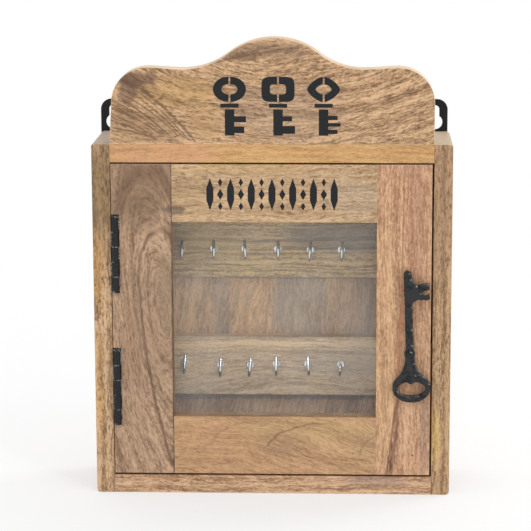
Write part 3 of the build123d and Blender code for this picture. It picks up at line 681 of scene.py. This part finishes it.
def hammered_iron():
    """Blackened iron with hammer marks, its ridges polished pale, which also paints their highlight,
    and a painted highlight on the faces that look up and to the right.
    """
    graph = Graph("hammered_iron")
    point = graph.point()
    marks = graph.add("TexVoronoi", {"Vector": point, "Scale": 0.4}, feature="SMOOTH_F1")
    dents = marks.field(0)
    grit = graph.noise(point, scale=1.6, detail=3.0, roughness=0.6)
    cloud = graph.noise(point, scale=0.2)
    facing = graph.facing()
    x, y, z = (facing.field(axis) * part for axis, part in enumerate(HIGHLIGHT_WAY))
    # Painted highlight: the faces that turn up and to the right are made pale and shiny.
    painted_highlight = (x + y + z).rise(0.7, 0.86)
    # Ridges are rubbed pale: partly real polish, partly a painted highlight.
    ridge = graph.add("NewGeometry").field("Pointiness").rise(0.53, 0.6)
    hollow = (dents * 0.9 + (cloud - 0.5) * 0.8).rise(0.25, 0.7)
    colour = graph.mix(hollow, srgb(38, 40, 41), srgb(6, 6, 7))
    polish_and_highlight = (painted_highlight + ridge * 0.5).clamped() * grit.rise(0.46, 0.58) * cloud.rise(0.36, 0.52)
    colour = graph.mix(polish_and_highlight * 0.8, colour, srgb(176, 180, 182))
    return graph.finish({
        "Base Color": colour,
        "Metallic": (polish_and_highlight * 0.5).clamped(),
        "Roughness": (0.24 + (grit - 0.5) * 0.2 + (cloud - 0.5) * 0.2).clamped(),
        "Normal": graph.bump(dents + grit * 0.15, 0.9, 0.8 * MM),
        "IOR": IRON_IOR,
    })


def plated(name, bright, dull, roughness):
    """Zinc plate: a crystalline, slightly blue-grey metal, a little smeared."""
    graph = Graph(name)
    point = graph.point()
    crystals = graph.noise(point, scale=1.6, detail=3.0, roughness=0.6)
    smear = graph.noise(point, scale=0.25)
    return graph.finish({
        "Base Color": graph.mix(crystals.rise(0.3, 0.7), srgb(*dull), srgb(*bright)),
        "Metallic": 1.0,
        "Roughness": (roughness + (crystals - 0.5) * 0.14 + (smear - 0.5) * 0.12).clamped(),
        "Normal": graph.bump(crystals, 0.12, 0.08 * MM),
    })


def moulded_plastic():
    """The catch's brown housing."""
    graph = Graph("catch_plastic")
    grain = graph.noise(graph.point(), scale=3.0, detail=3.0)
    return graph.finish({
        "Base Color": graph.mix(grain.rise(0.3, 0.7), srgb(88, 60, 40), srgb(106, 74, 50)),
        "Roughness": (0.45 + (grain - 0.5) * 0.3).clamped(),
        "Normal": graph.bump(grain, 0.2, 0.1 * MM),
    })


def ferrite():
    """The catch's dark, sintered magnet."""
    graph = Graph("ferrite_magnet")
    grain = graph.noise(graph.point(), scale=4.0, detail=4.0)
    return graph.finish({
        "Base Color": graph.mix(grain.rise(0.3, 0.7), srgb(44, 44, 46), srgb(78, 78, 80)),
        "Roughness": (0.6 + (grain - 0.5) * 0.2).clamped(),
        "Normal": graph.bump(grain, 0.3, 0.1 * MM),
    })


def window_glass():
    """Thin float glass: clear, with a faint dusty veil and a soft reflection.

    It is made of two faces that light goes straight through. Only the outer side of a face
    reflects, because on its inner side Fresnel would turn a slanting view into a black mirror.
    """
    graph = Graph("window_glass")
    point = graph.point()
    dust = graph.noise(point, scale=0.03, detail=3.0).rise(0.35, 0.75)
    specks = graph.noise(point, scale=1.1).rise(0.7, 0.78)
    clear = graph.add("BsdfTransparent", {"Color": srgb(254, 255, 255)})
    gloss = graph.add("BsdfGlossy", {"Color": srgb(255, 255, 255), "Roughness": 0.04})
    dusty = graph.mix(dust, srgb(206, 208, 208), srgb(232, 232, 230))
    haze = graph.add("BsdfDiffuse", {"Color": dusty})
    outer_side = 1.0 - graph.add("NewGeometry").field("Backfacing")
    shine = graph.add("Fresnel", {"IOR": GLASS_IOR}).field(0) * outer_side
    veil = VEIL + dust * 0.02 + specks * 0.02
    veiled = graph.add("MixShader", {0: veil, 1: clear.out(0), 2: haze.out(0)})
    return graph.surface(graph.add("MixShader", {0: shine, 1: veiled.out(0), 2: gloss.out(0)}))


def paint_hardware():
    """Paints every piece that isn't wood, by its slot in the record, and the hangers by name."""
    slots = {
        "black_paint": enamel("black_enamel", chips=1.0),
        "zinc_steel": plated("dull_zinc", (196, 200, 204), (150, 154, 158), 0.34),
        "bright_hook": plated("bright_zinc", (236, 238, 240), (196, 200, 204), 0.16),
        "black_iron": hammered_iron(),
        "catch_plastic": moulded_plastic(),
        "magnet_dark": ferrite(),
        "clear_glass": window_glass(),
    }
    for part in frame["record"]["subparts"]:
        if part["material_slot"] in slots:
            paint_node(part["node"], slots[part["material_slot"]])
    hanger_black = enamel("black_hanger", tone=0.5, gloss=0.42, chips=0.3)
    for node in ("hanger_left", "hanger_right"):
        paint_node(node, hanger_black)
    return slots["black_iron"]


# ---- New pieces ---------------------------------------------------------
PAINT_THICKNESS = 0.1 * MM


def new_piece(name, mesh, material, body):
    piece = bpy.data.objects.new(name, mesh)
    bpy.context.scene.collection.objects.link(piece)
    mesh.materials.clear()
    mesh.materials.append(material)
    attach(piece, body)
    return piece


def counter_clockwise(outline):
    """The outline, turned round if it runs clockwise as seen from the front."""
    sides = zip(outline, outline[1:] + outline[:1])
    area = sum(start[0] * end[1] - end[0] * start[1] for start, end in sides)
    return outline if area > 0 else outline[::-1]


def painted_shapes(name, outlines, board, material, body):
    """Flat painted shapes on a board's front. Each outline is a loop of (x, z) in millimetres."""
    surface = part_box(board)[0][1]
    points, faces = [], []
    for outline in outlines:
        loop = counter_clockwise(outline)
        count, first = len(loop), len(points)
        for y in (surface - PAINT_THICKNESS, surface):
            points += [(x * MM, y, z * MM) for x, z in loop]
        outer = list(range(first, first + count))
        inner = list(range(first + count, first + 2 * count))
        faces += [outer, inner[::-1]]
        for here in range(count):
            after = (here + 1) % count
            faces.append([outer[after], outer[here], inner[here], inner[after]])
    mesh = bpy.data.meshes.new(name)
    mesh.from_pydata(points, [], faces)
    new_piece(name, mesh, material, body)


# ---- Painted motifs, in millimetres -------------------------------------
ARC_STEPS = 20
# A stencilled key: the half-width and half-height of its bow and of the hole in that, then its
# collar and its stem. The gaps are the bridges that hold a stencil together.
BOW = (13.6, 10.4)
BOW_HOLE = (6.2, 4.2)
COLLAR_HALF, COLLAR_HIGH = 7.5, 3.2
STEM_HALF = 3.9
STENCIL_GAP = 1.5
KEYS_FOOT, KEYS_TOP = 307.3, 356.0
# Each key: where it stands, how square its bow is, and its teeth, as (low, high, reach) from the
# foot up and from the stem's middle out.
KEYS = (
    (-34.5, 2.0, ((11.0, 16.0, 13.5), (2.0, 7.5, 12.0))),
    (5.5, 4.5, ((12.0, 16.0, 11.5), (1.5, 8.0, 14.0))),
    (43.0, 1.45, ((13.0, 16.5, 11.5), (7.5, 10.5, 14.0), (1.5, 5.0, 11.5))),
)

FRIEZE_LOW, FRIEZE_HIGH = 244.5, 271.5
FRIEZE_CENTRE = 0.3
FRIEZE_COUNT = 13
FRIEZE_PITCH = 8.6
SPINDLE_HALF, SPINDLE_SHOULDER = 2.9, 5
# The half-width and half-height of the middle diamond, and of the ones above and below it.
DIAMOND = (2.6, 4.6)
SMALL_DIAMOND = (1.9, 3.4)


def superellipse(wide, high, power, start, end):
    """Points on a superellipse, from one angle to another, as offsets from its centre."""
    points = []
    for step in range(ARC_STEPS + 1):
        angle = math.radians(start + (end - start) * step / ARC_STEPS)
        cos, sin = math.cos(angle), math.sin(angle)
        x = math.copysign(abs(cos) ** (2 / power), cos) * wide
        z = math.copysign(abs(sin) ** (2 / power), sin) * high
        points.append((x, z))
    return points


def half_bow(x, centre, power, side):
    """One side of a key's bow, from -1 or 1, kept half a gap off the key's middle."""
    half_gap = STENCIL_GAP / 2
    squeeze = 1 - half_gap / BOW[0]
    ring = superellipse(*BOW, power, -90, 90) + superellipse(*BOW_HOLE, power, 90, -90)
    return [(x + side * (half_gap + max(0.0, px) * squeeze), centre + pz) for px, pz in ring]


def key_outlines(x, power, teeth):
    """An upright stencilled key: a bow in two halves, a collar, and a stem with teeth."""
    foot = KEYS_FOOT
    centre = KEYS_TOP - BOW[1]
    collar = centre - BOW[1] - STENCIL_GAP
    shoulder = collar - COLLAR_HIGH
    stem_top = shoulder - STENCIL_GAP
    stem = [(x - STEM_HALF, stem_top), (x + STEM_HALF, stem_top)]
    for low, high, reach in teeth:
        stem += [(x + STEM_HALF, foot + high), (x + reach, foot + high)]
        stem += [(x + reach, foot + low), (x + STEM_HALF, foot + low)]
    stem += [(x + STEM_HALF, foot), (x - STEM_HALF, foot)]
    return [
        half_bow(x, centre, power, -1),
        half_bow(x, centre, power, 1),
        [
            (x - COLLAR_HALF, collar), (x + COLLAR_HALF, collar),
            (x + COLLAR_HALF, shoulder), (x - COLLAR_HALF, shoulder),
        ],
        stem,
    ]


def paint_crest(material):
    """Three stencilled keys across the crest, with an oval, a square and a pointed bow."""
    outlines = []
    for key in KEYS:
        outlines += key_outlines(*key)
    painted_shapes("stencilled_keys", outlines, "crest_board", material, "carcass")


def diamond(x, z, half_wide, half_high):
    return [(x, z + half_high), (x + half_wide, z), (x, z - half_high), (x - half_wide, z)]


def spindle(x, middle):
    low, high = middle - SPINDLE_SHOULDER, middle + SPINDLE_SHOULDER
    return [
        (x, FRIEZE_HIGH), (x + SPINDLE_HALF, high), (x + SPINDLE_HALF, low),
        (x, FRIEZE_LOW), (x - SPINDLE_HALF, low), (x - SPINDLE_HALF, high),
    ]


def paint_door_rail(material):
    """A frieze along the door's top rail: tall spindles with three diamonds between each pair."""
    middle, half = (FRIEZE_LOW + FRIEZE_HIGH) / 2, (FRIEZE_HIGH - FRIEZE_LOW) / 2
    outlines = []
    for number in range(FRIEZE_COUNT):
        x = FRIEZE_CENTRE + (number - (FRIEZE_COUNT - 1) / 2) * FRIEZE_PITCH
        if number % 2 == 0:
            outlines.append(spindle(x, middle))
        else:
            outlines.append(diamond(x, middle, *DIAMOND))
            outlines.append(diamond(x, middle + half - SMALL_DIAMOND[1], *SMALL_DIAMOND))
            outlines.append(diamond(x, middle - half + SMALL_DIAMOND[1], *SMALL_DIAMOND))
    painted_shapes("stencilled_frieze", outlines, "door_rail_top", material, "door")


# ---- Key-shaped pull ----------------------------------------------------
PULL_VOXEL = 0.6 * MM
PULL_SMOOTHING = 24
PULL_SMOOTH_FACTOR = 0.6
# Smoothing thins the iron, so it is swelled again, sideways only.
PULL_SWELL = 0.55 * MM
# Broad dents, and smaller and shallower ones among them.
HAMMER_DEPTH = 0.8 * MM
HAMMER_SIZE = 3.4 * MM
SMALL_SIZE, SMALL_DEPTH = 0.4, 0.5
# The back, this close to the door, isn't hammered.
PULL_BACK = 1.0 * MM


def rounded_key():
    """The CAD key remeshed and smoothed, as a mesh of its own."""
    rough = bpy.data.objects.new("rough_pull", nodes["key_handle"].data.copy())
    bpy.context.scene.collection.objects.link(rough)
    remesh = rough.modifiers.new("remesh", "REMESH")
    remesh.mode = "VOXEL"
    remesh.voxel_size = PULL_VOXEL
    smooth = rough.modifiers.new("smooth", "SMOOTH")
    smooth.factor = PULL_SMOOTH_FACTOR
    smooth.iterations = PULL_SMOOTHING
    ready = rough.evaluated_get(bpy.context.evaluated_depsgraph_get())
    mesh = bpy.data.meshes.new_from_object(ready)
    bpy.data.objects.remove(rough)
    return mesh


def sculpted_pull(material):
    """The iron key with rounded, hammered surfaces, in place of its plain solid."""
    mesh = rounded_key()
    low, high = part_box("key_handle")
    for vertex in mesh.vertices:
        broad = noise.noise(vertex.co / HAMMER_SIZE)
        dent = broad + SMALL_DEPTH * noise.noise(vertex.co / (SMALL_SIZE * HAMMER_SIZE))
        sideways = Vector((vertex.normal.x, 0.0, vertex.normal.z))
        if vertex.co.y < high[1] - PULL_BACK:
            vertex.co -= vertex.normal * HAMMER_DEPTH * max(0.0, dent)
        vertex.co += sideways * PULL_SWELL
        for axis in range(3):
            vertex.co[axis] = min(max(vertex.co[axis], low[axis]), high[axis])
    mesh.shade_smooth()
    pull = new_piece("hammered_pull", mesh, material, "door")
    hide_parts("key_handle")


# ---- Edges of the metal parts -------------------------------------------
# How wide the rounding is, in millimetres, by how a node's name starts.
EASED = {"hinge_": 0.25, "hanger_": 0.3, "catch_": 0.25, "strike_": 0.2, "key_handle_screws": 0.2}
EASED_ANGLE = math.radians(40)


def soften_metal():
    """Slightly rounded edges on the pressed hinges, hangers, screws and plates."""
    for name, node in nodes.items():
        for start, width in EASED.items():
            if name.startswith(start):
                bevel = node.modifiers.new("eased", "BEVEL")
                bevel.width = width * MM
                bevel.segments = 2
                bevel.limit_method = "ANGLE"
                bevel.angle_limit = EASED_ANGLE
                break


# ---- Camera, floor and light --------------------------------------------
FLOOR_HALF = 14.0
FLOOR_DROP = 0.05 * MM
# How much of the floor's white is its own light.
FLOOR_GLOW = 0.45


def place_camera():
    """Slightly right of centre and above, with a long lens."""
    azimuth, elevation, roll = math.radians(2.381), math.radians(11.337), math.radians(-0.197)
    distance = 1.9184
    target = Vector((-6.72, -5.0, 190.9)) * MM
    level = Vector((math.cos(azimuth), math.sin(azimuth), 0.0))
    flat = math.cos(elevation)
    away = Vector((math.sin(azimuth) * flat, -math.cos(azimuth) * flat, math.sin(elevation)))
    upright = away.cross(level)
    right = level * math.cos(roll) + upright * math.sin(roll)
    up = upright * math.cos(roll) - level * math.sin(roll)
    data = bpy.data.cameras.new("camera")
    data.lens = 152.9
    data.sensor_width = 36.0
    data.clip_end = 50.0
    camera = bpy.data.objects.new("camera", data)
    bpy.context.scene.collection.objects.link(camera)
    turned = Matrix((right, up, away)).transposed().to_4x4()
    camera.matrix_world = Matrix.Translation(target + away * distance) @ turned
    bpy.context.scene.camera = camera


def paper():
    """Matt white paper, lit partly from below, that turns white further back (in millimetres)."""
    graph = Graph("paper_floor")
    fibres = graph.noise(graph.point(), scale=0.02, detail=3.0)
    colour = graph.mix(fibres, (0.87, 0.875, 0.88, 1), (0.9, 0.902, 0.905, 1))
    matt = graph.add("BsdfDiffuse", {"Color": colour})
    white = graph.add("Emission", {"Color": (1, 1, 1, 1), "Strength": 1.0})
    back = FLOOR_GLOW + graph.place()["y"].rise(150.0, 900.0) * (1 - FLOOR_GLOW)
    return graph.surface(graph.add("MixShader", {0: back, 1: matt.out(0), 2: white.out(0)}))


def lay_floor():
    mesh = bpy.data.meshes.new("floor")
    corners = [(x * FLOOR_HALF, y * FLOOR_HALF, 0) for x, y in ((-1, -1), (1, -1), (1, 1), (-1, 1))]
    mesh.from_pydata(corners, [], [(0, 1, 2, 3)])
    floor = bpy.data.objects.new("floor", mesh)
    bpy.context.scene.collection.objects.link(floor)
    floor.location.z = -FLOOR_DROP
    mesh.materials.append(paper())


def area_light(name, place, size, power, target=(0.0, 0.0, 0.18)):
    """A square lamp of size metres and power watts that looks at target."""
    data = bpy.data.lights.new(name, "AREA")
    data.shape = "SQUARE"
    data.size = size
    data.energy = power
    lamp = bpy.data.objects.new(name, data)
    bpy.context.scene.collection.objects.link(lamp)
    lamp.location = place
    lamp.rotation_euler = (Vector(place) - Vector(target)).to_track_quat("Z", "Y").to_euler()


def light_studio():
    """A white room, a soft key light, two small lamps for glints, and one from behind."""
    world = bpy.data.worlds.new("studio")
    world.use_nodes = True
    sky = world.node_tree.nodes["Background"]
    sky.inputs["Color"].default_value = (1.0, 1.0, 1.0, 1.0)
    sky.inputs["Strength"].default_value = 1.0
    bpy.context.scene.world = world
    area_light("key", (1.1, -1.3, 1.9), 0.7, 3.6)
    area_light("glint", (0.8, -1.2, 1.1), 0.16, 2.4)
    area_light("left_glint", (-1.3, -0.9, 0.7), 0.2, 1.0)
    area_light("rim", (0.9, 0.5, 1.4), 0.5, 3.5, target=(0.0, 0.0, 0.35))
    bpy.context.scene.view_settings.view_transform = "Standard"


# ---- Build --------------------------------------------------------------
place_camera()
lay_floor()
light_studio()
paint_boards()
iron = paint_hardware()
stencil_paint = enamel("stencil_paint", tone=0.95, gloss=0.6, chips=0.0)
paint_crest(stencil_paint)
paint_door_rail(stencil_paint)
sculpted_pull(iron)
soften_metal()
